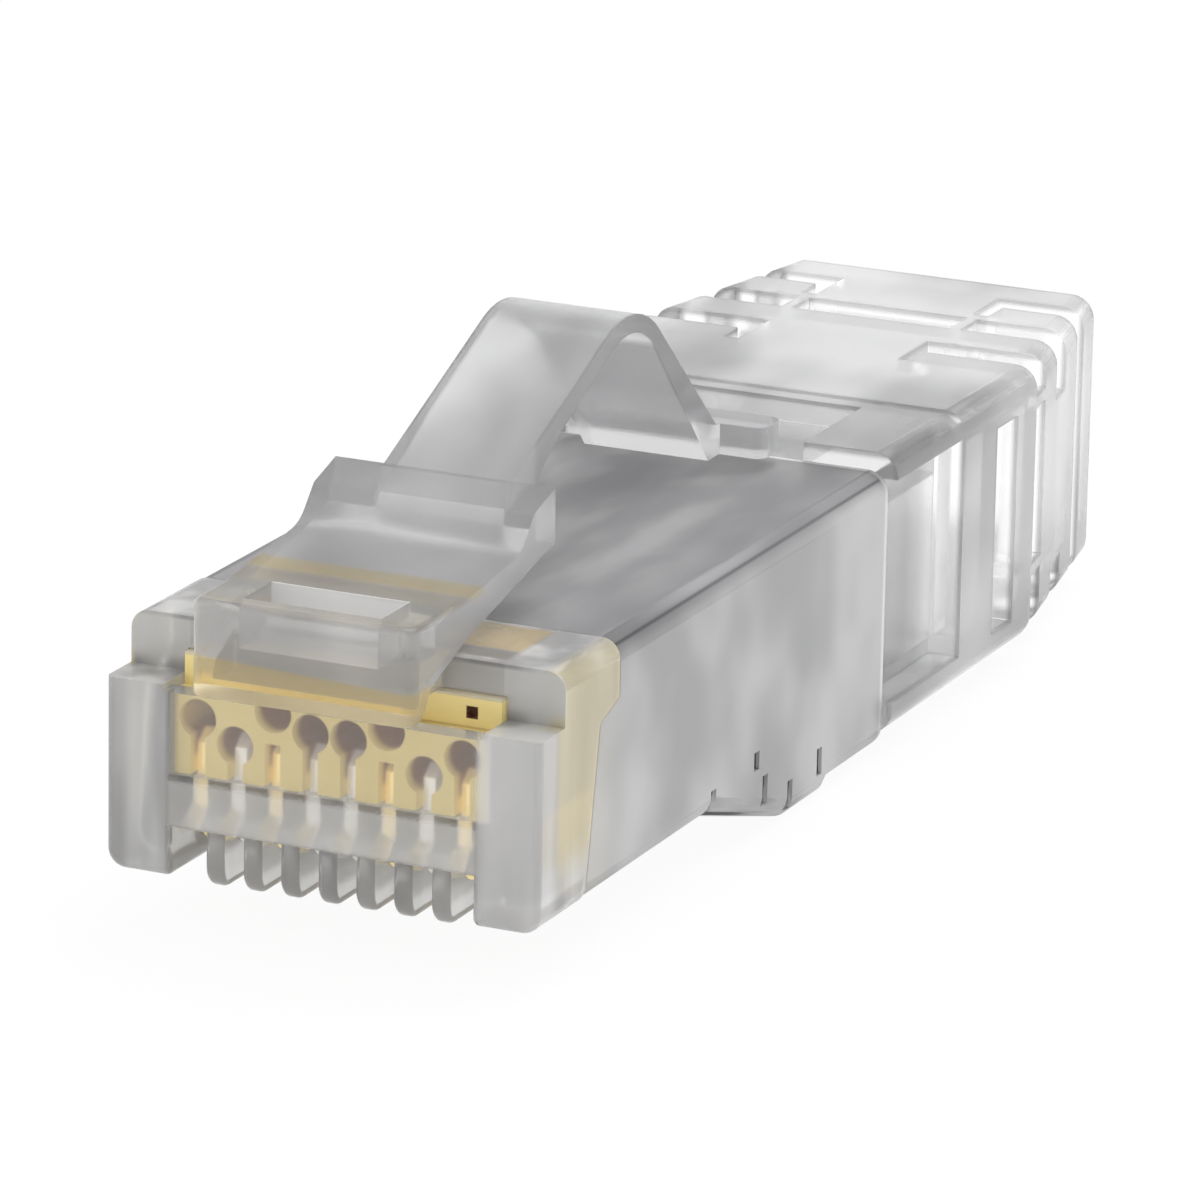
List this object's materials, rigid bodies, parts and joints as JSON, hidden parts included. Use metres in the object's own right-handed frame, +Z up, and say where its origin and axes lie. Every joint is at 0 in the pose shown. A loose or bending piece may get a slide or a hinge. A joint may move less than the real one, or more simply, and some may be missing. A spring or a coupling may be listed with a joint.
{
  "type": "shielded modular plug",
  "caption": "Shielded clear modular data plug with a sprung locking latch, contact blades in a slotted nose, an amber wire holder and a slotted clear bend-relief boot.",
  "frame": {"origin": "bottom centre of the whole plug, under the middle of its length on the plane it rests on", "axes": "+Z up, on the latch side; +Y from the contact end towards the cable end; +X across"},
  "size_m": [0.0122, 0.0402, 0.0132],
  "materials": {
    "clear_housing": "clear polycarbonate, lightly frosted",
    "clear_latch": "clear polycarbonate, lightly frosted",
    "clear_boot": "clear flexible plastic, lightly frosted",
    "amber_bar": "amber plastic, semi-gloss",
    "gold_contact": "gold plated, polished",
    "satin_shield": "satin nickel-plated sheet"
  },
  "bodies": {
    "plug": {"plug_housing": "clear_housing", "load_bar": "amber_bar", "shield": "satin_shield", "boot": "clear_boot", "contact_1": "gold_contact", "contact_2": "gold_contact", "contact_3": "gold_contact", "contact_4": "gold_contact", "contact_5": "gold_contact", "contact_6": "gold_contact", "contact_7": "gold_contact", "contact_8": "gold_contact"},
    "latch_arm": {"latch": "clear_latch"},
    "latch_leg": {"latch_tail": "clear_latch"}
  },
  "joints": [
    {"name": "latch_press", "type": "hinge", "parent": "plug", "child": "latch_arm", "pos_m": [0, -0.01763, 0.00778], "axis": [-1, 0, 0], "range_deg": [0, 12], "stiffness_Nm_per_rad": 0.06},
    {"name": "tail_flex", "type": "hinge", "parent": "latch_arm", "child": "latch_leg", "pos_m": [0, -0.00528, 0.01317], "axis": [1, 0, 0], "range_deg": [0, 36]}
  ],
  "couplings": [
    {"joint": "tail_flex", "follows": "latch_press", "ratio": 2.9}
  ]
}
